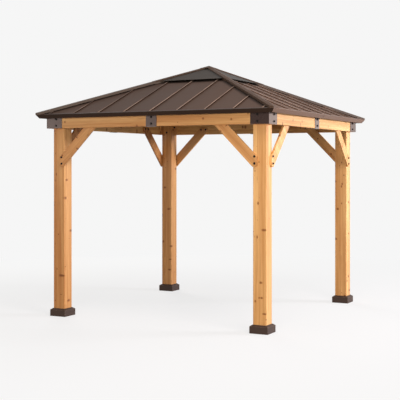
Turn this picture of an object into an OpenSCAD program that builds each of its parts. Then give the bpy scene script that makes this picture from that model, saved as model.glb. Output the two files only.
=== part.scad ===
// Square garden gazebo: four timber posts carry a bolted beam frame, and the frame
// carries a hipped roof of standing-seam sheet steel with a raised vent at its peak.
// The origin is on the ground at the middle of the plan, +Z is up and the front looks
// along -Y. All lengths are in millimetres.

/* [Posts] */
// Side of a square post
post_w = 138; // [110:1:180]
// Distance between the outer faces of two posts on one side
post_span = 2469; // [2100:1:3200]
// Chamfer along the long edges of posts and beams
timber_ease = 4; // [1:0.5:8]

/* [Boots] */
// Height of the skirt round the foot of a post
boot_h = 83; // [60:1:140]
// Height of the sloped top of the skirt
boot_cap_h = 16; // [8:1:30]
// How far the skirt stands out from the post
boot_over = 26.5; // [15:0.5:50]
// Wall of the skirt
boot_wall = 3; // [1.5:0.5:5]

/* [Beams] */
// Height of the underside of the beams above the ground
beam_bottom = 1996; // [1700:1:2600]
// Height of a beam
beam_h = 124; // [100:1:180]
// Thickness of a beam
beam_t = 28; // [20:1:60]
// Length of each leg of a corner bracket
bracket_len = 195; // [120:1:300]
// Width of the plate over the joint in the middle of a beam
splice_w = 123; // [60:1:200]
// Thickness of the steel brackets and splice plates
plate_t = 4; // [2:0.5:6]

/* [Braces] */
// Thickness of a knee brace, and of the spacer between a post and a beam
brace_t = 20; // [15:1:40]
// Width of the brace board
brace_w = 103; // [60:1:120]
// Distance from the corner of post and beam to the middle of the brace
brace_leg = 331; // [220:1:500]
// How far the brace laps on to the post
brace_post_lap = 50; // [30:1:80]
// How far the brace laps up behind the beam
brace_beam_lap = 88; // [60:1:98]
// Radius of the pointed corners of the brace
brace_tip_r = 32; // [10:1:36]
// Radius of the blunt corners of the brace
brace_blunt_r = 12; // [5:1:24]

/* [Roof] */
// Pitch of the roof in degrees
roof_pitch = 22.1; // [15:0.1:30]
// How far the eave stands out from the beams
eave_overhang = 89; // [70:1:250]
// Thickness of the roof sheet
sheet_t = 2; // [1:0.5:4]
// Distance between two standing seams
seam_pitch = 307; // [200:1:450]
// How far the row of seams is set over to the right of a side's middle
seam_shift = 22; // [0:1:60]
// Width of a standing seam at its foot
seam_w = 16; // [8:1:24]
// Height of a standing seam
seam_h = 12; // [8:1:24]

/* [Eave trim] */
// Width of the trim's top, along the slope
trim_flange = 22; // [12:1:40]
// Height of the trim's top above the roof sheet
trim_kerb = 10; // [4:0.5:14]
// Height of the sloping face of the trim
trim_drop = 38; // [30:1:80]
// How far the face leans in at its foot
trim_lean = 29; // [5:1:34]
// Width of the fold under the trim
trim_return = 18; // [8:1:24]
// Thickness of the trim sheet
trim_t = 2; // [1:0.5:3]
// Gap between the two halves of a trim at the middle of a side
trim_gap = 5; // [2:0.5:10]

/* [Hip covers] */
// Half width of a hip cover, square to the hip
hip_wing = 30; // [20:1:60]
// How far a hip cover stands above the top of the seams
hip_over = 18; // [4:0.5:30]
// Clear height between the roof sheet and the edges of a hip cover
hip_clear = 7; // [2:0.5:9]
// How far a tongue at the head of a hip cover runs in under the vent roof, along the eave
hip_tongue = 75; // [40:1:80]
// How far a vent hip cover laps down over the hip cover below it, along the eave
vent_lap = 32; // [15:1:60]

/* [Vent] */
// Half side of the raised vent roof
vent_half = 435; // [430:1:600]
// Clear height between the vent roof and the seams under it
vent_gap = 8; // [1:0.5:14]
// Half side of the small cap at the very top
top_cap_half = 78; // [60:1:120]

/* [Roof frame] */
// Width of a hip rafter
hip_rafter_w = 40; // [25:1:60]
// Depth of a hip rafter, measured upright
hip_rafter_h = 80; // [60:1:110]
// Width of a side rafter
side_rafter_w = 40; // [25:1:60]
// Depth of a side rafter, measured upright
side_rafter_h = 60; // [45:1:90]
// How far a side rafter's level seat runs in past the beam
rafter_seat = 14; // [5:1:40]
// Half side of the crown frame that the rafters lean on
crown_half = 345; // [280:1:360]
// Width of the crown frame's bars
crown_w = 40; // [36:1:60]
// Height of the crown frame's bars
crown_h = 50; // [30:1:80]
// Width of the bars that hold up the vent roof
vent_bar_w = 24; // [16:1:30]
// Depth of the bars that hold up the vent roof, measured upright
vent_bar_h = 24; // [15:1:26]

/* [Hidden] */
$fn = 48;

// Clearance where one piece seats on another
seat_gap = 0.2;
// Clearance between a boot and its post
boot_gap = 0.3;
// Gap between two roof sheets under a hip cover
hip_gap = 6;
// Gap between the edge of the roof sheet and the face of the eave trim
edge_gap = 1;
// Gap between two eave trims at a corner, measured along each of them
trim_joint = 2;
// Overrun of cuts past the faces that they open
overrun = 5;
// How far the roof sheets run in over the crown frame
crown_lap = 10;
// Clearance at each side of a hip cover where a vent hip cover laps it
lap_gap = 1;
// Length of the legs of the vent frame, along the hip
vent_leg = 24;
// Width of a standing seam's top as a share of its foot
seam_top_share = 0.85;

timber = "#C98F55";
roof_steel = "#5E4B40";
bracket_steel = "#4B3F3E";
boot_brown = "#4A3B33";

// Distances from the middle of the plan, out along a side
post_out = post_span / 2;
post_in = post_out - post_w;
post_mid = post_out - post_w / 2;
beam_in = post_out + brace_t;
frame_out = beam_in + beam_t;
eave_out = frame_out + eave_overhang;
lean_share = trim_lean / trim_drop;
panel_out = eave_out - edge_gap - trim_t * norm([1, lean_share])
    - (trim_kerb + sheet_t) / cos(roof_pitch) * lean_share;
panel_in = crown_half - crown_lap;
flange_in = eave_out - trim_flange * cos(roof_pitch);

// Heights above the ground
beam_top = beam_bottom + beam_h;
seat_in = beam_in - rafter_seat;
eave_top = beam_top + side_rafter_h + seat_gap + sheet_t / cos(roof_pitch)
    - (eave_out - seat_in) * tan(roof_pitch);
roof_peak = roof_z(0);

// Slope of a hip, and the upright thickness of the roof sheet
hip_pitch = atan(tan(roof_pitch) / sqrt(2));
sheet_rise = sheet_t / cos(roof_pitch);
hip_cover_h = seam_h + hip_over;
vent_rise = seam_h / cos(roof_pitch) + vent_gap + sheet_rise;
vent_peak = roof_peak + vent_rise;
vent_cover_h = hip_cover_h + sheet_t + seat_gap - vent_rise * cos(hip_pitch);
vent_wing = hip_wing + sheet_t + lap_gap;
tongue_h = (vent_rise - sheet_rise) * cos(hip_pitch) - lap_gap;
crown_top = roof_z(crown_half) - sheet_rise - seat_gap;

// Height of the main roof surface at a distance out from the middle
function roof_z(out) = eave_top + (eave_out - out) * tan(roof_pitch);

// Outline of bent sheet: the outer line out, and back along a line one thickness inside it
function unit(v) = v / norm(v);
function left_of(v) = [-v[1], v[0]];
function inset_point(line, i, t) =
    let (last = len(line) - 1)
    let (before = unit(line[max(i, 1)] - line[max(i, 1) - 1]))
    let (after = unit(line[min(i, last - 1) + 1] - line[min(i, last - 1)]))
    let (middle = unit(left_of(before) + left_of(after)))
    line[i] + middle * t / (middle * left_of(after));
function sheet_outline(line, t) =
    concat(line, [for (i = [len(line) - 1 : -1 : 0]) inset_point(line, i, t)]);

module turn(quarters) rotate([0, 0, 90 * quarters]) children();
module flip() mirror([1, 0, 0]) children();
module all_round() for (quarter = [0 : 3]) turn(quarter) children();

// Places x along the eave, y up the slope and z square to a sheet of the front side
module on_slope(out, lift = 0)
    translate([0, -out, roof_z(out) + lift]) rotate([roof_pitch, 0, 0]) children();

// Places x down the front right hip, y level across it and z square to it
module on_hip(peak)
    translate([0, 0, peak]) rotate([0, 0, -45]) rotate([0, hip_pitch, 0]) children();

// Stands an outline of (distance out, height) upright, along the front side's middle or a hip
module upright_front(width) rotate([90, 0, -90]) linear_extrude(width, center = true) children();
module upright_hip(width)
    rotate([0, 0, -45]) rotate([90, 0, 0]) linear_extrude(width, center = true) children();

// Square block in plan, cut by the same sloping profile on all four sides
module hipped(half, base, shoulder, top_half, top) {
    profile = [
        [-half, base], [half, base], [half, shoulder],
        [top_half, top], [-top_half, top], [-half, shoulder]
    ];
    intersection() {
        rotate([90, 0, 0]) linear_extrude(2 * half, center = true) polygon(profile);
        rotate([90, 0, 90]) linear_extrude(2 * half, center = true) polygon(profile);
    }
}

// Square or oblong timber section with chamfered corners, centred
module eased_section(wide, high) {
    x = wide / 2;
    y = high / 2;
    polygon([
        [-x + timber_ease, -y], [x - timber_ease, -y], [x, -y + timber_ease], [x, y - timber_ease],
        [x - timber_ease, y], [-x + timber_ease, y], [-x, y - timber_ease], [-x, -y + timber_ease]
    ]);
}

// Square prism round the middle of the plan
module plan_square(half, low, high)
    translate([-half, -half, low]) cube([2 * half, 2 * half, high - low]);

// Front right post
module post()
    color(timber) translate([post_mid, -post_mid, 0])
        linear_extrude(beam_top) eased_section(post_w, post_w);

// Skirt round the foot of the front right post
module boot() {
    outer = post_w / 2 + boot_over;
    hole = post_w / 2 + boot_gap;
    shoulder = boot_h - boot_cap_h;
    color(boot_brown) translate([post_mid, -post_mid, 0]) difference() {
        hipped(outer, 0, shoulder, hole + boot_wall, boot_h);
        hipped(outer - boot_wall, -overrun, shoulder - boot_wall, hole, boot_h - boot_wall);
        plan_square(hole, 0, boot_h + overrun);
    }
}

// Right half of a front beam, from the joint in the middle out to a given end
module beam(end)
    color(timber) translate([0, -(frame_out + beam_in) / 2, beam_bottom + beam_h / 2])
        rotate([90, 0, 90]) linear_extrude(end) eased_section(beam_t, beam_h);

// Packing block between the front right post and the front beam
module spacer()
    color(timber) translate([post_in, -beam_in, beam_bottom]) cube([post_w, brace_t, beam_h]);

// Steel plate over the joint in the middle of the front beam, folded in under the beam
module splice_plate() {
    out = frame_out + plate_t;
    low = beam_bottom - plate_t;
    color(bracket_steel) translate([-splice_w / 2, 0, 0])
        rotate([90, 0, 90]) linear_extrude(splice_w) polygon([
            [-out, beam_top], [-out, low], [-beam_in, low],
            [-beam_in, beam_bottom], [-frame_out, beam_bottom], [-frame_out, beam_top]
        ]);
}

// Steel angle round the front right corner of the beam frame
module bracket() {
    out = frame_out + plate_t;
    tip = out - bracket_len;
    color(bracket_steel) translate([0, 0, beam_bottom]) linear_extrude(beam_h) polygon([
        [tip, -out], [out, -out], [out, -tip],
        [frame_out, -tip], [frame_out, -frame_out], [tip, -frame_out]
    ]);
}

// One corner of an outline, rounded: the outline goes by way of the round's own centre
function round_centre(corner, to_a, to_b, r) =
    corner + unit(to_a + to_b) * r / sin(acos(to_a * to_b) / 2);
function round_points(corner, to_a, to_b, r) =
    let (reach = r / tan(acos(to_a * to_b) / 2))
    [corner + to_a * reach, round_centre(corner, to_a, to_b, r), corner + to_b * reach];

// Knee brace on the right of the front: a board at 45 degrees, cut plumb at the post
// and level behind the beam, with its two pointed and two blunt corners rounded
module brace() {
    line = post_in + beam_bottom - brace_leg;
    half = brace_w / sqrt(2);
    plumb = post_in + brace_post_lap;
    level = beam_bottom + brace_beam_lap;
    up = [0, 1];
    right = [1, 0];
    along = unit([-1, 1]);
    corners = [
        [[plumb, line - half - plumb], along, up, brace_tip_r],
        [[plumb, line + half - plumb], -up, along, brace_blunt_r],
        [[line + half - level, level], -along, -right, brace_blunt_r],
        [[line - half - level, level], right, -along, brace_tip_r]
    ];
    color(timber) translate([0, -post_out, 0]) rotate([90, 0, 0]) linear_extrude(brace_t) {
        polygon([for (c = corners) each round_points(c[0], c[1], c[2], c[3])]);
        for (c = corners) translate(round_centre(c[0], c[1], c[2], c[3])) circle(c[3]);
    }
}

// Hip rafter with a level seat on the front right post and the corner of the beams
module hip_rafter() {
    slope = tan(hip_pitch);
    rise = roof_peak - sheet_rise - hip_rafter_w / 2 * slope - seat_gap;
    near = (crown_half - crown_lap) * sqrt(2);
    far = frame_out * sqrt(2);
    seat = (rise - hip_rafter_h - beam_top) / slope;
    color(roof_steel) difference() {
        upright_hip(hip_rafter_w) polygon([
            [near, rise - near * slope], [far, rise - far * slope], [far, beam_top],
            [seat, beam_top], [near, rise - near * slope - hip_rafter_h]
        ]);
        plan_square(crown_half, beam_top, roof_peak);
    }
}

// Side rafter at the middle of the front, with a level seat on the beam
module side_rafter() {
    slope = tan(roof_pitch);
    rise = roof_peak - sheet_rise - seat_gap;
    color(roof_steel) upright_front(side_rafter_w) polygon([
        [crown_half, rise - crown_half * slope], [frame_out, rise - frame_out * slope],
        [frame_out, beam_top], [seat_in, beam_top],
        [crown_half, rise - crown_half * slope - side_rafter_h]
    ]);
}

// Square frame at the head of the rafters
module crown() {
    color(roof_steel) difference() {
        plan_square(crown_half, crown_top - crown_h, crown_top);
        plan_square(crown_half - crown_w, crown_top - crown_h - overrun, crown_top + overrun);
    }
}

// Seam at a distance along the front eave: it stops short of the trim and of the hip cover
module seam(along) {
    foot = seam_w / 2;
    top = foot * seam_top_share;
    low = (panel_out - flange_in) / cos(roof_pitch) + seat_gap;
    in_end = max(panel_in, abs(along) + hip_wing * sqrt(2) + foot + seat_gap);
    high = (panel_out - in_end) / cos(roof_pitch);
    if (high > low + seam_w)
        translate([along, high, 0]) rotate([90, 0, 0]) linear_extrude(high - low)
            polygon([[-foot, -sheet_t / 2], [foot, -sheet_t / 2], [top, seam_h], [-top, seam_h]]);
}

// Roof sheet of the front side with its standing seams
module roof_panel() {
    seams = floor(panel_out / seam_pitch);
    low_half = panel_out - hip_gap;
    high_half = panel_in - hip_gap;
    run = (panel_out - panel_in) / cos(roof_pitch);
    color(roof_steel) on_slope(panel_out) union() {
        translate([0, 0, -sheet_t]) linear_extrude(sheet_t)
            polygon([[-low_half, 0], [low_half, 0], [high_half, run], [-high_half, run]]);
        for (i = [-seams : seams]) seam(i * seam_pitch + seam_shift);
    }
}

// Right half of the bent trim along the front eave: a fold under, a leaning face, a top
// in line with the roof and a leg down to the sheet, mitred at the corner
module eave_trim() {
    lift = trim_kerb / cos(roof_pitch);
    tip = [-eave_out, eave_top + lift];
    foot = tip + [trim_lean, -trim_drop];
    top = [-flange_in, roof_z(flange_in) + lift];
    leg = top + (trim_kerb - seat_gap) * [sin(roof_pitch), -cos(roof_pitch)];
    inner = eave_out - trim_lean - trim_return - overrun;
    outer = eave_out + overrun;
    color(roof_steel) intersection() {
        rotate([90, 0, 90]) linear_extrude(eave_out)
            polygon(sheet_outline([foot + [trim_return, 0], foot, tip, top, leg], -trim_t));
        translate([0, 0, foot[1] - overrun]) linear_extrude(trim_drop + trim_flange + 2 * overrun)
            polygon([
                [trim_gap / 2, -outer], [outer - trim_joint, -outer],
                [inner - trim_joint, -inner], [trim_gap / 2, -inner]
            ]);
    }
}

// Solid form of a hip cover: wings in line with the two sheets and upright edges
module hip_form(wing, low, high, from, to) {
    fall = wing * sin(hip_pitch);
    translate([from, 0, 0]) rotate([90, 0, 90]) linear_extrude(to - from) polygon([
        [-wing, low - fall], [0, low], [wing, low - fall],
        [wing, high - fall], [0, high], [-wing, high - fall]
    ]);
}

// Bent cover over the front right hip. Its edges stand a given height above the sheets as far as
// a step, and from there on they clear a kerb; its lower end has a wall if one is given.
module hip_cover(peak, wing, low, high, top_end, eave_end, step_at, kerb, end_wall) {
    from = top_end * sqrt(2) / cos(hip_pitch);
    to = eave_end * sqrt(2) / cos(hip_pitch) + wing;
    color(roof_steel) difference() {
        union() {
            intersection() {
                on_hip(peak) hip_form(wing, kerb + seat_gap, high, from, to);
                plan_square(eave_end, 0, peak + high);
            }
            intersection() {
                on_hip(peak) hip_form(wing, low, high, from, to);
                plan_square(step_at, 0, peak + high);
            }
        }
        intersection() {
            on_hip(peak)
                hip_form(wing - sheet_t, -overrun, high - sheet_t, from - overrun, to + overrun);
            plan_square(eave_end - end_wall, 0, peak + high);
        }
    }
}

// Cover over a main hip, from the corner of the vent roof down to a closed end on the eave trims,
// with a lower tongue that stands on the sheets and runs in under the vent roof
module main_hip_cover() {
    tongue_end = vent_half + hip_wing;
    hip_cover(
        roof_peak, hip_wing, hip_clear, hip_cover_h, vent_half, eave_out,
        flange_in - seat_gap, trim_kerb, sheet_t
    );
    hip_cover(
        roof_peak, hip_wing, seat_gap, tongue_h, vent_half - hip_tongue, tongue_end,
        tongue_end, 0, -overrun
    );
}

// One sheet of the raised vent roof
module vent_panel() {
    half = vent_half - hip_gap;
    color(roof_steel) on_slope(vent_half, vent_rise) translate([0, 0, -sheet_t])
        linear_extrude(sheet_t) polygon([[-half, 0], [half, 0], [0, half / cos(roof_pitch)]]);
}

// Cover over a vent hip, open at its lower end, where it laps over the main hip cover
module vent_hip_cover()
    hip_cover(
        vent_peak, vent_wing, seat_gap, vent_cover_h, (vent_wing + hip_gap) / sqrt(2),
        vent_half + vent_lap, vent_half + vent_lap, 0, -overrun
    );

// Four bars under the hips of the vent roof, each on a leg that stands on the crown frame
module vent_frame() {
    slope = tan(hip_pitch);
    rise = vent_peak - sheet_rise - vent_bar_w / 2 * slope - seat_gap;
    far = (crown_half - crown_w / 2) * sqrt(2) - hip_gap + vent_leg / 2 - sheet_t;
    leg = far - vent_leg;
    color(roof_steel) all_round() upright_hip(vent_bar_w) polygon([
        [0, rise], [far, rise - far * slope], [far, crown_top], [leg, crown_top],
        [leg, rise - leg * slope - vent_bar_h], [0, rise - vent_bar_h]
    ]);
}

// Low pyramid of sheet over the meeting of the vent hip covers
module top_cap() {
    under = vent_peak + vent_cover_h / cos(hip_pitch) + seat_gap;
    rim = under - top_cap_half * tan(roof_pitch);
    wide = top_cap_half + overrun;
    color(roof_steel) difference() {
        hipped(top_cap_half, rim, rim + sheet_rise, 0, under + sheet_rise);
        hipped(wide, rim - wide, under - wide * tan(roof_pitch), 0, under);
    }
}

turn(3) post();  // front_left_post
post();  // front_right_post
turn(1) post();  // back_right_post
turn(2) post();  // back_left_post
turn(3) boot();  // front_left_boot
boot();  // front_right_boot
turn(1) boot();  // back_right_boot
turn(2) boot();  // back_left_boot
flip() beam(frame_out);  // front_left_beam
beam(frame_out);  // front_right_beam
turn(1) flip() beam(beam_in);  // right_front_beam
turn(1) beam(beam_in);  // right_back_beam
turn(2) flip() beam(frame_out);  // back_right_beam
turn(2) beam(frame_out);  // back_left_beam
turn(3) flip() beam(beam_in);  // left_back_beam
turn(3) beam(beam_in);  // left_front_beam
all_round() { spacer(); flip() spacer(); }  // post_spacers
all_round() splice_plate();  // splice_plates
turn(3) bracket();  // front_left_bracket
bracket();  // front_right_bracket
turn(1) bracket();  // back_right_bracket
turn(2) bracket();  // back_left_bracket
flip() brace();  // front_left_brace
brace();  // front_right_brace
turn(1) flip() brace();  // right_front_brace
turn(1) brace();  // right_back_brace
turn(2) flip() brace();  // back_right_brace
turn(2) brace();  // back_left_brace
turn(3) flip() brace();  // left_back_brace
turn(3) brace();  // left_front_brace
all_round() { hip_rafter(); side_rafter(); }  // roof_rafters
crown();  // crown_frame
roof_panel();  // front_roof_panel
turn(1) roof_panel();  // right_roof_panel
turn(2) roof_panel();  // back_roof_panel
turn(3) roof_panel();  // left_roof_panel
all_round() { eave_trim(); flip() eave_trim(); }  // eave_trims
turn(3) main_hip_cover();  // front_left_hip_cover
main_hip_cover();  // front_right_hip_cover
turn(1) main_hip_cover();  // back_right_hip_cover
turn(2) main_hip_cover();  // back_left_hip_cover
vent_frame();
all_round() vent_panel();  // vent_panels
all_round() vent_hip_cover();  // vent_hip_covers
top_cap();  // vent_top_cap
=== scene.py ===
import math

import bmesh
import bpy
from mathutils import Euler, Matrix, Vector


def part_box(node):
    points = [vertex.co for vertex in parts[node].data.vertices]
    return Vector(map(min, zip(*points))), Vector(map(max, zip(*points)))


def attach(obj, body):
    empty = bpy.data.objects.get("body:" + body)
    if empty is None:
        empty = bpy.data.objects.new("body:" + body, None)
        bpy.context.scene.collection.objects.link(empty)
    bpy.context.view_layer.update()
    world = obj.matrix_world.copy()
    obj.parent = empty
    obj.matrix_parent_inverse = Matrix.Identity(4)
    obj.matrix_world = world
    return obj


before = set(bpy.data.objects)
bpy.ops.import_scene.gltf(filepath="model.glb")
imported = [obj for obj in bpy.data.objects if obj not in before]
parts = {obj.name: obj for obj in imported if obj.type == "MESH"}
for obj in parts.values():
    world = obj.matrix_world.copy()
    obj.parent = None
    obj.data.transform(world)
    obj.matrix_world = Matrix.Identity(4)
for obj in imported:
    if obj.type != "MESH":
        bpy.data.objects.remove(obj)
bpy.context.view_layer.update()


# Posts: four square lengths of planed softwood under a honey stain, with eased edges.
# The grain runs up each post, and small dark knots lie in it singly and in clusters.
# Each post stands in a boot and carries the beams on its outer faces.

def add_node(tree, kind, inputs=None, **settings):
    """Add a shader node; inputs takes socket names or numbers, with a value or another node's output."""
    made = tree.nodes.new("ShaderNode" + kind)
    for name, value in settings.items():
        setattr(made, name, value)
    for socket, value in (inputs or {}).items():
        if isinstance(value, bpy.types.NodeSocket):
            tree.links.new(value, made.inputs[socket])
        else:
            made.inputs[socket].default_value = value
    return made


def calc(tree, operation, *values):
    """One step of arithmetic on values or outputs."""
    return add_node(tree, "Math", dict(enumerate(values)), operation=operation).outputs[0]


def measure(tree, operation, *vectors):
    """One number from vectors, such as a length or a dot product."""
    return add_node(tree, "VectorMath", dict(enumerate(vectors)), operation=operation).outputs["Value"]


def spread(tree, value, low, high, to_low=0.0, to_high=1.0, ease="LINEAR"):
    """Carry a value from one range to another, and hold it inside the second."""
    ranges = {"Value": value, "From Min": low, "From Max": high, "To Min": to_low, "To Max": to_high}
    return add_node(tree, "MapRange", ranges, interpolation_type=ease).outputs[0]


def mixed(tree, share, first, second):
    """Mix two colours: a share of 1 gives the second."""
    return add_node(tree, "Mix", {0: share, 6: first, 7: second}, data_type="RGBA").outputs[2]


def stretched(tree, vector, factors):
    """Multiply a place along each axis, which draws a pattern out where the factor is small."""
    return add_node(tree, "VectorMath", {0: vector, 1: factors}, operation="MULTIPLY").outputs[0]


def noise(tree, vector, scale=1.0, detail=2.0, roughness=0.5):
    """Smooth noise about one half."""
    sockets = {"Vector": vector, "Scale": scale, "Detail": detail, "Roughness": roughness}
    return add_node(tree, "TexNoise", sockets).outputs["Fac"]


def object_place(tree):
    """The place on the object, in metres in the CAD frame."""
    return add_node(tree, "TexCoord").outputs["Object"]


def shader_group(name, inputs, outputs):
    """Start a node group, and give its tree, its incoming sockets and its outgoing sockets."""
    tree = bpy.data.node_groups.new(name, "ShaderNodeTree")
    for label, kind in inputs.items():
        tree.interface.new_socket(label, in_out="INPUT", socket_type="NodeSocket" + kind)
    for label, kind in outputs.items():
        tree.interface.new_socket(label, in_out="OUTPUT", socket_type="NodeSocket" + kind)
    return tree, tree.nodes.new("NodeGroupInput").outputs, tree.nodes.new("NodeGroupOutput").inputs


def paint(red, green, blue):
    """A colour as a screen shows it, 0 to 255, turned into the linear one that sockets take."""
    shares = [level / 255 for level in (red, green, blue)]
    return (*[s / 12.92 if s < 0.04 else ((s + 0.055) / 1.055) ** 2.4 for s in shares], 1.0)


grain, given, result = shader_group(
    "timber grain",
    {"Vector": "Vector", "Pale": "Color", "Honey": "Color", "Late Wood": "Color", "Knot": "Color"},
    {"Color": "Color", "Roughness": "Float", "Height": "Float"},
)
lengthwise = given["Vector"]


def streaks(across, along, detail=2.0, roughness=0.5):
    """Noise drawn out along the grain: across and along are its waves in a metre."""
    drawn_out = stretched(grain, lengthwise, (across, across, along))
    return noise(grain, drawn_out, detail=detail, roughness=roughness)


# The tree's heart wanders a little along the board, and the rings lie round it.
heart_drift = 0.036
wander = stretched(grain, lengthwise, (0.5, 0.5, 0.9))
drift = add_node(grain, "TexNoise", {"Vector": wander, "Scale": 1.0})
section = add_node(
    grain, "VectorMath",
    {0: drift.outputs["Color"], 1: (heart_drift, heart_drift, 0), 2: lengthwise},
    operation="MULTIPLY_ADD",
).outputs[0]
heart_distance = measure(grain, "LENGTH", stretched(grain, section, (1, 1, 0)))

# Branches leave the heart in cells of turn and height.
# A lucky cell holds a knot, and a luckier one a larger knot.
knot_cell_turn = 0.785
knot_cell_height = 0.054
knot_luck_needed = 0.83
smallest_knot, largest_knot = 0.002, 0.20
axes = add_node(grain, "SeparateXYZ", {0: section}).outputs
around = calc(grain, "DIVIDE", calc(grain, "ARCTAN2", axes[1], axes[0]), knot_cell_turn)
along = calc(grain, "DIVIDE", axes[2], knot_cell_height)
branches = add_node(grain, "CombineXYZ", {0: around, 1: along}).outputs[0]
knot_cells = add_node(grain, "TexVoronoi", {"Vector": branches, "Scale": 1.0}, voronoi_dimensions="2D")
knot_luck = add_node(grain, "SeparateColor", {0: knot_cells.outputs["Color"]}).outputs[2]
knot_size = spread(grain, knot_luck, knot_luck_needed, 1.0, smallest_knot, largest_knot)
from_knot = calc(grain, "DIVIDE", knot_cells.outputs["Distance"], knot_size)

# A knot is darkest at its heart and in its bark ring, and fades into the wood round it.
knot_ramp = add_node(grain, "ValToRGB", {0: calc(grain, "MULTIPLY", from_knot, 0.5)})
knot_stops = knot_ramp.color_ramp.elements
knot_stops[0].position = 0.0
knot_stops[0].color = (0.95, 0.95, 0.95, 1)
knot_stops[1].position = 0.95
knot_stops[1].color = (0, 0, 0, 1)
for place, level in ((0.20, 0.60), (0.36, 0.85), (0.48, 0.46), (0.62, 0.20)):
    knot_stops.new(place).color = (level, level, level, 1)
knot_share = knot_ramp.outputs[0]

# Growth rings swing round the knots and waver; drying checks are thin cracks in a few patches.
ring_width = 0.0058
ring_bulge = 0.010
ring_waver = 0.012
late_wood_power = 2.2
check_width = 0.006
check_depth = 0.75
bulge = spread(grain, from_knot, 0.0, 3.2, ring_bulge, 0.0, "SMOOTHSTEP")
waver = calc(grain, "MULTIPLY", streaks(26, 1.5, detail=3.0), ring_waver)
ring_place = calc(grain, "ADD", calc(grain, "ADD", heart_distance, bulge), waver)
ring = calc(grain, "FRACT", calc(grain, "DIVIDE", ring_place, ring_width))
late_wood = calc(grain, "POWER", ring, late_wood_power)
streak = spread(grain, streaks(30, 0.55, detail=4.0, roughness=0.62), 0.34, 0.66)
broad = spread(grain, streaks(5.5, 0.45), 0.36, 0.64)
fibre = streaks(430, 8)
check_line = calc(grain, "ABSOLUTE", calc(grain, "SUBTRACT", streaks(38, 0.5), 0.5))
check_patch = spread(grain, streaks(7, 1.6), 0.56, 0.62)
check = calc(grain, "MULTIPLY", spread(grain, check_line, 0.0, check_width, check_depth, 0.0), check_patch)

# The stain takes in streaks, the late wood and fibres are darker, and a knot has a dark halo.
streak_share, broad_share = 0.6, 0.4
ring_share = 0.34
fibre_share = 0.22
halo_share = 0.5
stain_share = calc(grain, "MULTIPLY_ADD", streak, streak_share, calc(grain, "MULTIPLY", broad, broad_share))
colour = mixed(grain, stain_share, given["Pale"], given["Honey"])
colour = mixed(grain, calc(grain, "MULTIPLY", late_wood, ring_share), colour, given["Late Wood"])
colour = mixed(grain, spread(grain, fibre, 0.35, 0.7, 0.0, fibre_share), colour, given["Late Wood"])
halo = spread(grain, from_knot, 1.0, 2.4, halo_share, 0.0, "SMOOTHSTEP")
colour = mixed(grain, halo, colour, given["Late Wood"])
colour = mixed(grain, knot_share, colour, given["Knot"])
colour = mixed(grain, check, colour, given["Knot"])
grain.links.new(colour, result["Color"])
grain.links.new(calc(grain, "MULTIPLY_ADD", fibre, 0.16, 0.42), result["Roughness"])
relief = calc(grain, "MULTIPLY_ADD", fibre, 0.5, calc(grain, "MULTIPLY", late_wood, 0.4))
grain.links.new(calc(grain, "SUBTRACT", relief, check), result["Height"])

honey_stain = {
    "Pale": (251, 207, 140),
    "Honey": (192, 129, 66),
    "Late Wood": (166, 104, 50),
    "Knot": (112, 58, 18),
}
stain_depth_powers = (0.95, 1.5, 1.95)
tree_spacing = 5.37


def new_finish(name, specular):
    """Start a material, and give it with its tree and its one shader."""
    material = bpy.data.materials.new(name)
    material.use_nodes = True
    shader = material.node_tree.nodes["Principled BSDF"]
    shader.inputs["Specular IOR Level"].default_value = specular
    return material, material.node_tree, shader


def lay_on(tree, shader, surface, strength, distance):
    """Feed the colour, roughness and relief of a finish to the shader."""
    tree.links.new(surface.outputs["Color"], shader.inputs["Base Color"])
    tree.links.new(surface.outputs["Roughness"], shader.inputs["Roughness"])
    relief_sockets = {"Height": surface.outputs["Height"], "Strength": strength, "Distance": distance}
    bump = add_node(tree, "Bump", relief_sockets)
    tree.links.new(bump.outputs[0], shader.inputs["Normal"])


def dress(part, material, edge):
    """Put a material on a CAD part and round its sharp edges a little."""
    for slot in part.material_slots:
        slot.material = material
    bevel = part.modifiers.new("eased edges", "BEVEL")
    bevel.width = edge
    bevel.segments = 2
    bevel.limit_method = "ANGLE"
    bevel.angle_limit = math.radians(35)


def timber(name, turn=(0, 0, 0), heart=(0.02, -0.03), lot=1, depth=1.0):
    """Stained timber for one board: turn brings its grain upright, heart is where the tree's heart lies
    from the middle of the board, each lot is cut from another tree, and the last value is below 1 where the
    stain took darker; on some boards it also darkens them as painted shade."""
    low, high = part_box(name)
    material, tree, shader = new_finish("honey stain " + name, specular=0.2)
    place = Vector((*heart, lot * tree_spacing)) - Euler(turn).to_matrix() @ ((low + high) / 2)
    upright = add_node(tree, "Mapping", {"Vector": object_place(tree), "Rotation": turn, "Location": place})
    wood = add_node(tree, "Group", {"Vector": upright.outputs[0]}, node_tree=grain)
    deepening = [depth ** power for power in stain_depth_powers]
    for socket, stain in honey_stain.items():
        deepened = [level * share for level, share in zip(stain, deepening)]
        wood.inputs[socket].default_value = paint(*deepened)
    lay_on(tree, shader, wood, strength=0.35, distance=0.0012)
    return material


timber_edge = 0.0025
corners = ("front_left", "front_right", "back_right", "back_left")
post_hearts = ((0.02, 0.015), (0.012, 0.01), (-0.02, 0.012), (0.015, -0.02))
post_lots = (120, 81, 3, 123)
# Darker posts: front left's stain took darker; back left's lower value is partly its darker stain and
# partly painted shade on its front face.
post_depths = (0.91, 1.0, 0.95, 0.87)
for corner, heart, lot, depth in zip(corners, post_hearts, post_lots, post_depths):
    dress(parts[corner + "_post"], timber(corner + "_post", heart=heart, lot=lot, depth=depth), timber_edge)


# Boots: skirts of folded sheet steel round the feet of the posts, powder coated dark brown.
# The folds are rounded, and the coat is painted paler along them: partly thin, worn coat, partly a painted
# highlight where the folds catch the light.

# Edge mask: pales a coat along its rounded edges, partly for worn coat and partly as a painted highlight
# where edges catch the light.
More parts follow.
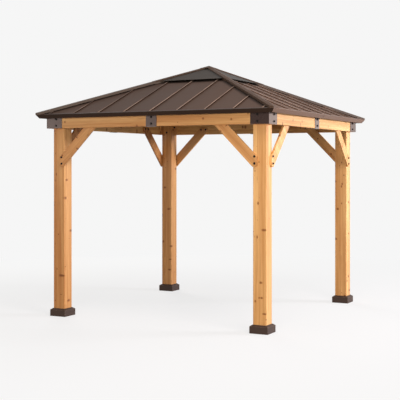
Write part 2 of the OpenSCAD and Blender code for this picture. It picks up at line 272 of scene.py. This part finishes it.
edge_wear_and_highlight, given, result = shader_group(
    "edge wear", {"Radius": "Float", "Patchiness": "Float"}, {"Mask": "Float"})
rounded = add_node(edge_wear_and_highlight, "Bevel", {"Radius": given["Radius"]}, samples=6)
square = add_node(edge_wear_and_highlight, "NewGeometry").outputs["Normal"]
agreement = measure(edge_wear_and_highlight, "DOT_PRODUCT", rounded.outputs[0], square)
on_edge = spread(edge_wear_and_highlight, agreement, 0.995, 0.90)
patches = spread(edge_wear_and_highlight, noise(edge_wear_and_highlight, object_place(edge_wear_and_highlight), scale=38.0, detail=4.0), 0.38, 0.62)
kept = calc(edge_wear_and_highlight, "MULTIPLY_ADD", calc(edge_wear_and_highlight, "SUBTRACT", patches, 1.0), given["Patchiness"], 1.0)
edge_wear_and_highlight.links.new(calc(edge_wear_and_highlight, "MULTIPLY", on_edge, kept), result["Mask"])

coat, given, result = shader_group(
    "powder coat",
    {"Vector": "Vector", "Paint": "Color", "Faded": "Color", "Worn And Lit": "Color", "Edge": "Float",
     "Shade": "Float", "Gloss": "Float"},
    {"Color": "Color", "Roughness": "Float", "Height": "Float"},
)
# Dark brown for painted shade, mixed into the coat where a mask puts shade.
shade_brown = paint(20, 16, 13)
cloud_share, speck_share = 0.75, 0.25
ripple_height, peel_height = 6.0, 0.12
cloud = spread(coat, noise(coat, given["Vector"], scale=1.6, detail=4.0, roughness=0.6), 0.33, 0.67)
speck = spread(coat, noise(coat, given["Vector"], scale=60.0, detail=3.0, roughness=0.7), 0.35, 0.65)
faded = calc(coat, "MULTIPLY_ADD", cloud, cloud_share, calc(coat, "MULTIPLY", speck, speck_share))
colour = mixed(coat, faded, given["Paint"], given["Faded"])
# Paler where the edge input says (partly worn edges, partly painted highlights), then darker where painted
# shade lies.
colour = mixed(coat, given["Edge"], colour, given["Worn And Lit"])
colour = mixed(coat, given["Shade"], colour, shade_brown)
coat.links.new(colour, result["Color"])
matt = calc(coat, "SUBTRACT", 1.0, given["Gloss"])
coat.links.new(calc(coat, "MULTIPLY_ADD", faded, 0.10, matt), result["Roughness"])
peel = calc(coat, "MULTIPLY", noise(coat, object_place(coat), scale=520.0, detail=1.0), peel_height)
ripple = noise(coat, given["Vector"], scale=3.2, detail=1.0)
coat.links.new(calc(coat, "MULTIPLY_ADD", ripple, ripple_height, peel), result["Height"])


def coated_steel(name, colours, gloss, specular=0.3, run=(1, 1, 1), edge=0.003, wear_and_highlight=0.35,
                 highlight=None, shade=None):
    """Powder coated steel: colours are the paint, where it has faded, and the paler colour of worn edges
    and painted highlights; run stretches the fading along the fall of a sheet, and a share of the edge mask
    pales the edges, partly worn coat and partly a painted highlight. Two optional functions add masks to
    the tree: the first where a painted highlight pales the coat, the second where painted shade darkens it."""
    material, tree, shader = new_finish(name, specular)
    worn = add_node(tree, "Group", {"Radius": edge, "Patchiness": 0.6}, node_tree=edge_wear_and_highlight)
    worn_and_lit = calc(tree, "MULTIPLY", worn.outputs["Mask"], wear_and_highlight)
    # A painted highlight: paler coat where the given mask says, on the seams' crests and on the right side
    # of the trims.
    if highlight:
        worn_and_lit = calc(tree, "MAXIMUM", worn_and_lit, highlight(tree))
    sockets = {"Vector": stretched(tree, object_place(tree), run), "Edge": worn_and_lit, "Gloss": gloss}
    for socket, colour in zip(("Paint", "Faded", "Worn And Lit"), colours):
        sockets[socket] = paint(*colour)
    if shade:
        sockets["Shade"] = shade(tree)
    steel = add_node(tree, "Group", sockets, node_tree=coat)
    lay_on(tree, shader, steel, strength=0.2, distance=0.001)
    return material


boot_browns = ((62, 48, 42), (72, 57, 49), (132, 112, 100))
boot_coat = coated_steel("boot brown", boot_browns, gloss=0.5, specular=0.15, edge=0.004, wear_and_highlight=0.8)
for corner in corners:
    dress(parts[corner + "_boot"], boot_coat, edge=0.002)


# Beams: two boards a side, butted at the middle, outside the posts.
# Each is planed and stained as the posts are, with its grain along its length.

def board_heart(turn, lot, aside, below):
    """Where the tree's heart lies for a sawn board: below its face, and aside by turns."""
    step = aside * (lot % 3 - 1)
    return (step, below) if turn[1] else (below, step)


grain_along_x = (0, math.pi / 2, 0)
grain_along_y = (math.pi / 2, 0, 0)
beams = {
    "front_left": grain_along_x,
    "front_right": grain_along_x,
    "right_front": grain_along_y,
    "right_back": grain_along_y,
    "back_right": grain_along_x,
    "back_left": grain_along_x,
    "left_back": grain_along_y,
    "left_front": grain_along_y,
}
first_beam_lot = 11
for lot, (place, turn) in enumerate(beams.items(), first_beam_lot):
    # The front beams are painted darker: painted shade for the shade under the eave.
    depth = 0.95 if place.startswith("front") else 1.0
    heart = board_heart(turn, lot, aside=0.015, below=0.072)
    dress(parts[place + "_beam"], timber(place + "_beam", turn, heart, lot, depth), timber_edge)


# Packing blocks: short pieces of the same stained board between the posts and the beams.
# They make up the thickness of the braces, so that the frame stays flush.

spacer_wood = timber("post_spacers", grain_along_x, heart=(0.4, 0.3), lot=21)
dress(parts["post_spacers"], spacer_wood, timber_edge)


# Corner brackets and splice plates: folded plate, powder coated a dark brown violet.
# The brackets wrap the corners of the beams, and the splice plates hook under their middle joints.

plate_edge = 0.0012
plate_browns = ((53, 38, 34), (62, 45, 41), (122, 104, 98))
plate_coat = coated_steel("bracket steel", plate_browns, gloss=0.78, specular=0.15, wear_and_highlight=0.5)
for corner in corners:
    dress(parts[corner + "_bracket"], plate_coat, plate_edge)
dress(parts["splice_plates"], plate_coat, plate_edge)


# Frame bolts: black hexagon bolts with round flanges. At each end of a beam two of them go through
# the bracket, beam and packing into the post, and one of the two ends in a nut on its inner face.

def turned_solid(mesh, seat, out, profile, sides):
    """Turn a profile of (radius, height) about an axis that starts at seat and points out."""
    stand = Matrix.Translation(seat) @ Vector((0, 0, 1)).rotation_difference(out).to_matrix().to_4x4()
    angles = [2 * math.pi * k / sides for k in range(sides)]
    rings = []
    for radius, height in profile:
        ring_points = [Vector((radius * math.cos(a), radius * math.sin(a), height)) for a in angles]
        rings.append([mesh.verts.new(stand @ point) for point in ring_points])
    for lower, upper in zip(rings, rings[1:]):
        for k in range(sides):
            after = (k + 1) % sides
            mesh.faces.new((lower[k], lower[after], upper[after], upper[k]))
    mesh.faces.new(rings[0][::-1])
    mesh.faces.new(rings[-1])


def fixings(name, places, head):
    """One piece of like bolt heads or nuts: each place is a point on the surface and the way out of it."""
    mesh = bmesh.new()
    for seat, out in places:
        turned_solid(mesh, seat, out, bolt_flange, sides=24)
        turned_solid(mesh, seat, out, head, sides=6)
    data = bpy.data.meshes.new(name)
    mesh.to_mesh(data)
    mesh.free()
    data.materials.append(bolt_black)
    piece = bpy.data.objects.new(name, data)
    bpy.context.scene.collection.objects.link(piece)
    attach(piece, "root")


def quarter_turn(quarter):
    """The turn that carries a place on the front to another side of the frame."""
    return Matrix.Rotation(quarter * math.pi / 2, 3, "Z")


def each_side(place, out):
    """The same fixing on all four sides of the frame, from its place on the front."""
    return [(quarter_turn(k) @ Vector(place), quarter_turn(k) @ Vector(out)) for k in range(4)]


outward, inward = (0, -1, 0), (0, 1, 0)
bolt_flange = ((0.0115, 0.0), (0.0115, 0.0014), (0.0098, 0.0026), (0.0070, 0.0032))
bolt_head = ((0.0084, 0.0020), (0.0084, 0.0080), (0.0078, 0.0092), (0.0062, 0.0100))
nut_head = ((0.0090, 0.0020), (0.0090, 0.0100), (0.0082, 0.0112), (0.0058, 0.0112))
bolt_blacks = ((14, 12, 12), (20, 17, 17), (70, 64, 62))
bolt_black = coated_steel("bolt black", bolt_blacks, gloss=0.45, specular=0.12, edge=0.0012, wear_and_highlight=0.4)

post_low, post_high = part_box("front_right_post")
bracket_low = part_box("front_right_bracket")[0]
post_middle = (post_low.x + post_high.x) / 2
post_inner = post_low.x
low_row, high_row = 0.028, 0.094
bolt_rows = (bracket_low.z + low_row, bracket_low.z + high_row)
seats = []
for row in bolt_rows:
    for across in (-post_middle, post_middle):
        seats += each_side((across, bracket_low.y, row), outward)
fixings("bracket_bolts", seats, bolt_head)

seats = []
for quarter in range(4):
    turn = quarter_turn(quarter)
    row = bolt_rows[quarter % 2]
    for across in (post_middle, -post_middle):
        seats.append((turn @ Vector((across, -post_inner, row)), turn @ Vector(inward)))
fixings("post_nuts", seats, nut_head)


# Splice bolts: two of the same black bolts through each splice plate into the beams behind it.
# They sit one above the other on the joint, in line with the bracket bolts.

plate_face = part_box("splice_plates")[0].y
seats = [seat for row in bolt_rows for seat in each_side((0, plate_face, row), outward)]
fixings("splice_bolts", seats, bolt_head)


# Knee braces: boards at 45 degrees with rounded ends, of the same timber, between post and beam.
# Each lies on the outer face of its post and the inner face of its beam, with two bolts at each end.

lean = math.pi / 4
braces = {
    "front_left": (0, -lean, 0),
    "front_right": (0, lean, 0),
    "back_left": (0, -lean, 0),
    "back_right": (0, lean, 0),
    "right_front": (-lean, 0, 0),
    "right_back": (lean, 0, 0),
    "left_front": (-lean, 0, 0),
    "left_back": (lean, 0, 0),
}
# The left braces' low values are painted shade, for the shade they lie in inside the frame.
brace_depths = {"right_front": 1.0, "right_back": 0.95, "left_front": 0.84, "left_back": 0.81}
usual_depth = 0.90
first_brace_lot = 31
for lot, (place, turn) in enumerate(braces.items(), first_brace_lot):
    depth = brace_depths.get(place, usual_depth)
    heart = board_heart(turn, lot, aside=0.012, below=0.068)
    dress(parts[place + "_brace"], timber(place + "_brace", turn, heart, lot, depth), timber_edge)

# Bolt places are given as (distance from the middle of the side, height).
brace_low, brace_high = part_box("front_right_brace")
foot_bolts = ((1.120, 1.622), (1.120, 1.690))
head_bolts = ((0.677, 2.057), (0.742, 2.057))
seats = []
for mirror in (1, -1):
    for across, row in foot_bolts:
        seats += each_side((mirror * across, brace_low.y, row), outward)
    for across, row in head_bolts:
        seats += each_side((mirror * across, brace_high.y, row), inward)
fixings("brace_bolts", seats, bolt_head)


# Roof frame: steel rafters up the hips and the middles of the sides, the square crown they lean on,
# and the small frame of the vent on top of it.
# All of it is box section in the brown of the roof, hidden from outside.

rafter_browns = ((76, 60, 51), (86, 69, 59), (130, 110, 97))
rafter_coat = coated_steel("rafter brown", rafter_browns, gloss=0.45)
for name in ("roof_rafters", "crown_frame", "vent_frame"):
    dress(parts[name], rafter_coat, edge=0.002)


# Roof sheets: pressed steel with standing seams, powder coated brown, one sheet a side.
# The coat has faded a little in long runs down the slope. The seams' crests are painted paler, a painted
# highlight, and the right sheet is painted lighter for the light that falls on it.
# Painted shade darkens the coat beside the seams, along the hip covers and under and just outside the edge
# of the vent.

# Seam masks: Crest is where a painted highlight pales the seams' tops; Foot is where painted shade darkens
# their sides.
seam_highlight_and_shade, given, result = shader_group(
    "seam crests", {"Normal": "Vector", "Level": "Float"}, {"Crest": "Float", "Foot": "Float"})
crest_from, crest_full = 0.0085, 0.0115
foot_from, foot_full = 0.0006, 0.0020
place = object_place(seam_highlight_and_shade)
over_sheet = calc(
    seam_highlight_and_shade, "SUBTRACT", measure(seam_highlight_and_shade, "DOT_PRODUCT", place, given["Normal"]), given["Level"])
crest_mask = spread(seam_highlight_and_shade, over_sheet, crest_from, crest_full)
unlike = spread(seam_highlight_and_shade, noise(seam_highlight_and_shade, place, scale=1.9, detail=1.0), 0.38, 0.62, 0.12, 1.0)
seam_highlight_and_shade.links.new(calc(seam_highlight_and_shade, "MULTIPLY", crest_mask, unlike), result["Crest"])
above_flat = spread(seam_highlight_and_shade, over_sheet, foot_from, foot_full)
seam_highlight_and_shade.links.new(calc(seam_highlight_and_shade, "SUBTRACT", above_flat, crest_mask), result["Foot"])

# Painted shade on a sheet: under and just outside the edge of what stands over the middle, and along the
# hip covers.
sheltered, given, result = shader_group("sheltered dirt", {"Half Side": "Float"}, {"Mask": "Float"})
vent_shade, vent_reach, vent_full = 0.92, 0.044, 0.012
hip_shade, hip_reach, hip_full = 0.8, 0.100, 0.055
axes = add_node(sheltered, "SeparateXYZ", {0: object_place(sheltered)}).outputs
off_x = calc(sheltered, "ABSOLUTE", axes[0])
off_y = calc(sheltered, "ABSOLUTE", axes[1])
inside = calc(sheltered, "SUBTRACT", given["Half Side"], calc(sheltered, "MAXIMUM", off_x, off_y))
under_vent = spread(sheltered, inside, -vent_reach, -vent_full, 0.0, vent_shade)
off_hip = calc(sheltered, "ABSOLUTE", calc(sheltered, "SUBTRACT", off_x, off_y))
beside_hip = spread(sheltered, off_hip, hip_reach, hip_full, 0.0, hip_shade)
sheltered.links.new(calc(sheltered, "MAXIMUM", under_vent, beside_hip), result["Mask"])


def seam_mask(tree, plane, mask):
    """Where a sheet's seams stand over its plane (normal, distance): on the Crest or at the Foot."""
    normal, level = plane
    seams = add_node(tree, "Group", {"Normal": normal, "Level": level}, node_tree=seam_highlight_and_shade)
    return seams.outputs[mask]


def shelter_mask(tree, half_side):
    """Painted shade along the hips and under what stands over the middle, a square of this half side."""
    return add_node(tree, "Group", {"Half Side": half_side}, node_tree=sheltered).outputs["Mask"]


vent_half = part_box("vent_panels")[1].x
roof_browns = ((70, 54, 46), (82, 64, 54), (150, 127, 112))
crest_highlight = 0.9
down_y = (1.0, 0.22, 0.22)
down_x = (0.22, 1.0, 0.22)


def roof_coat(side, plane, run, painted_lightening, foot_shade):
    """The coat of one sheet: plane is its flat, the lightening value lifts its browns as a painted light,
    and the last value is the share of painted shade on the sides of its seams."""
    # Painted highlight on the seams' crests.
    def crest_highlights(tree):
        return calc(tree, "MULTIPLY", seam_mask(tree, plane, "Crest"), crest_highlight)

    # Painted shade: on the sides of the seams, along the hips and under and just outside the edge of the
    # vent.
    def seam_and_shelter_shade(tree):
        beside_seams = calc(tree, "MULTIPLY", seam_mask(tree, plane, "Foot"), foot_shade)
        return calc(tree, "MAXIMUM", shelter_mask(tree, vent_half), beside_seams)

    browns = [[level * painted_lightening for level in brown] for brown in roof_browns]
    return coated_steel(
        "roof brown " + side, browns, gloss=0.55, specular=0.06, run=run, wear_and_highlight=0.4,
        highlight=crest_highlights, shade=seam_and_shelter_shade)


# The right sheet's browns are lifted as a painted light, and its seams carry less painted shade.
sheets = {
    "front": {"run": down_y, "painted_lightening": 1.0, "foot_shade": 0.8},
    "right": {"run": down_x, "painted_lightening": 1.2, "foot_shade": 0.3},
    "back": {"run": down_y, "painted_lightening": 1.0, "foot_shade": 0.8},
    "left": {"run": down_x, "painted_lightening": 1.0, "foot_shade": 0.8},
}
for side, weathering_and_light in sheets.items():
    panel = parts[side + "_roof_panel"]
    flat = max((face for face in panel.data.polygons if face.normal.z > 0), key=lambda face: face.area)
    plane = (flat.normal[:], flat.normal.dot(flat.center))
    dress(panel, roof_coat(side, plane, **weathering_and_light), edge=0.0015)


# Eave trims: bent strips of coated steel along the eaves, two a side, mitred at the corners.
# Their coat is darker than the sheets', and on the right side it is painted paler, a painted light for the
# light that falls there.

right_light_share = 0.8
corner_blend = 0.004


def right_side_light(tree):
    """Where the trims face right, up to the mitres at the two corners: a painted light that pales that
    side.
    """
    axes = add_node(tree, "SeparateXYZ", {0: object_place(tree)}).outputs
    to_right = calc(tree, "SUBTRACT", axes[0], calc(tree, "ABSOLUTE", axes[1]))
    return spread(tree, to_right, -corner_blend, corner_blend, 0.0, right_light_share)


trim_browns = ((50, 35, 26), (56, 40, 31), (126, 97, 80))
trim_coat = coated_steel("trim brown", trim_browns, gloss=0.7, specular=0.08, wear_and_highlight=0.3, highlight=right_side_light)
dress(parts["eave_trims"], trim_coat, edge=0.001)


# Hip covers: bent strips of coated steel over the four hips, from the vent down to the eave corners.
# They lie over the edges of the sheets, and two of the four, front left and back right, are painted paler
# and greyer, a painted light for how light falls on them.

hip_browns = ((72, 56, 46), (82, 64, 53), (130, 110, 97))
# Paler, greyer copy of the hip brown: painted light.
hip_lit_browns = ((88, 77, 70), (98, 87, 80), (140, 124, 114))
hip_coat = coated_steel("hip brown", hip_browns, gloss=0.55, specular=0.06, wear_and_highlight=0.5)
lit_hip_coat = coated_steel("hip brown painted_paler", hip_lit_browns, gloss=0.55, specular=0.06, wear_and_highlight=0.5)
for corner in corners:
    cover_coat = lit_hip_coat if corner in ("front_left", "back_right") else hip_coat
    dress(parts[corner + "_hip_cover"], cover_coat, edge=0.0015)


# Vent: a small raised roof of plain sheets over the open crown, with its own hip covers and a cap.
# The sheets are coated greyer than the roof, and painted shade darkens them beside their covers and round
# the cap.

cap_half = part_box("vent_top_cap")[1].x


def shade_by_cap(tree):
    """Painted shade on the vent's sheets, beside their hip covers and round the cap."""
    return shelter_mask(tree, cap_half)


vent_greys = ((56, 50, 45), (64, 58, 52), (110, 102, 94))
vent_coat = coated_steel("vent brown", vent_greys, gloss=0.55, specular=0.06, wear_and_highlight=0.5, shade=shade_by_cap)
dress(parts["vent_panels"], vent_coat, edge=0.0008)
for name in ("vent_hip_covers", "vent_top_cap"):
    dress(parts[name], hip_coat, edge=0.001)


# Floor: a wide pale sheet under the object. Seen from the camera it is as pale as the backdrop and
# keeps the shadow; it throws back less light than it shows.

def seen_directly(tree):
    """1 for rays from the camera, a mirror or a pane, 0 for the light that is thrown about."""
    path = add_node(tree, "LightPath").outputs
    mirrored = calc(tree, "MAXIMUM", path["Is Glossy Ray"], path["Is Transmission Ray"])
    return calc(tree, "MAXIMUM", path["Is Camera Ray"], mirrored)


backdrop = paint(246, 246, 246)
floor_half = 40.0
floor_height = -0.0005
near_reach, far_reach = 2.0, 6.5
near_glow = 0.76
floor_corners = [
    (-floor_half, -floor_half, floor_height),
    (floor_half, -floor_half, floor_height),
    (floor_half, floor_half, floor_height),
    (-floor_half, floor_half, floor_height),
]
floor_mesh = bpy.data.meshes.new("floor")
floor_mesh.from_pydata(floor_corners, [], [(0, 1, 2, 3)])
floor = bpy.data.objects.new("floor", floor_mesh)
bpy.context.scene.collection.objects.link(floor)
pale = bpy.data.materials.new("pale floor")
pale.use_nodes = True
tree = pale.node_tree
tree.nodes.remove(tree.nodes["Principled BSDF"])
shaded = add_node(tree, "BsdfDiffuse", {"Color": paint(236, 236, 236)})
glow = add_node(tree, "Emission", {"Color": backdrop, "Strength": 1.0})
from_middle = measure(tree, "LENGTH", object_place(tree))
glow_share = spread(tree, from_middle, near_reach, far_reach, near_glow, 1.0)
seen = add_node(tree, "MixShader", {0: glow_share, 1: shaded.outputs[0], 2: glow.outputs[0]})
thrown = add_node(tree, "BsdfDiffuse", {"Color": (0.32, 0.30, 0.28, 1)})
both = add_node(tree, "MixShader", {0: seen_directly(tree), 1: thrown.outputs[0], 2: seen.outputs[0]})
tree.links.new(both.outputs[0], tree.nodes["Material Output"].inputs["Surface"])
floor_mesh.materials.append(pale)


# Light: an even pale room, with soft lamps on the right, above and in front, and a fill behind.
# Two more, on the left and at the back, show only in the gloss.

world = bpy.data.worlds.new("studio")
bpy.context.scene.world = world
world.use_nodes = True
tree = world.node_tree
room = tree.nodes["Background"]
room.inputs["Color"].default_value = (1.0, 0.94, 0.88, 1)
room.inputs["Strength"].default_value = 0.32
far = add_node(tree, "Background", {"Color": backdrop, "Strength": 1.0})
both = add_node(tree, "MixShader", {0: seen_directly(tree), 1: room.outputs[0], 2: far.outputs[0]})
tree.links.new(both.outputs[0], tree.nodes["World Output"].inputs["Surface"])


def soft_lamp(name, place, aim, size, power, colour, gloss_only=False):
    """A rectangular lamp that the camera doesn't see, turned towards aim; size is its width and height."""
    light = bpy.data.lights.new(name, "AREA")
    light.shape = "RECTANGLE"
    light.size = size[0]
    light.size_y = size[1]
    light.energy = power
    light.color = colour
    lamp = bpy.data.objects.new(name, light)
    lamp.location = place
    lamp.rotation_euler = (Vector(aim) - Vector(place)).to_track_quat("-Z", "Y").to_euler()
    lamp.visible_camera = False
    lamp.visible_diffuse = not gloss_only
    bpy.context.scene.collection.objects.link(lamp)


soft_lamp(
    "right lamp", (8.9, 3.7, 2.8), aim=(0, 0, 1.3), size=(3.6, 1.0), power=950, colour=(1.0, 1.0, 1.1))
soft_lamp(
    "high lamp", (3.4, -2.9, 5.9), aim=(0, 0, 1.5), size=(2.4, 1.8), power=210, colour=(1.0, 0.88, 0.86))
soft_lamp(
    "front lamp", (3.2, -9.3, 2.4), aim=(0, 0, 1.2), size=(3.0, 2.2), power=395, colour=(1.0, 0.92, 0.82))
soft_lamp(
    "fill lamp", (-6.5, 6.5, 4.2), aim=(0, 0, 1.6), size=(4.0, 3.0), power=420, colour=(1.0, 0.98, 0.95))
soft_lamp(
    "left lamp", (-5.6, -8.4, 2.2), aim=(0, 0, 1.8), size=(3.6, 2.2), power=340, colour=(1.0, 0.82, 0.74),
    gloss_only=True)
soft_lamp(
    "back lamp", (5.7, 7.0, 2.2), aim=(0.8, 0, 2.0), size=(4.2, 2.6), power=170, colour=(1.0, 0.78, 0.68),
    gloss_only=True)


# Camera: level, at a standing person's eye height, looking at the front right corner.
# The picture is shifted down, so that the posts stay upright and the whole gazebo is in it.

camera_data = bpy.data.cameras.new("camera")
camera_data.sensor_width = 36.0
camera_data.lens = 86.32
camera_data.shift_y = -0.0864
camera = bpy.data.objects.new("camera", camera_data)
camera.location = (4.8761, -9.5996, 1.6031)
camera.rotation_euler = (math.pi / 2, 0, 0.4795)
bpy.context.scene.collection.objects.link(camera)
bpy.context.scene.camera = camera
bpy.context.scene.view_settings.view_transform = "Standard"
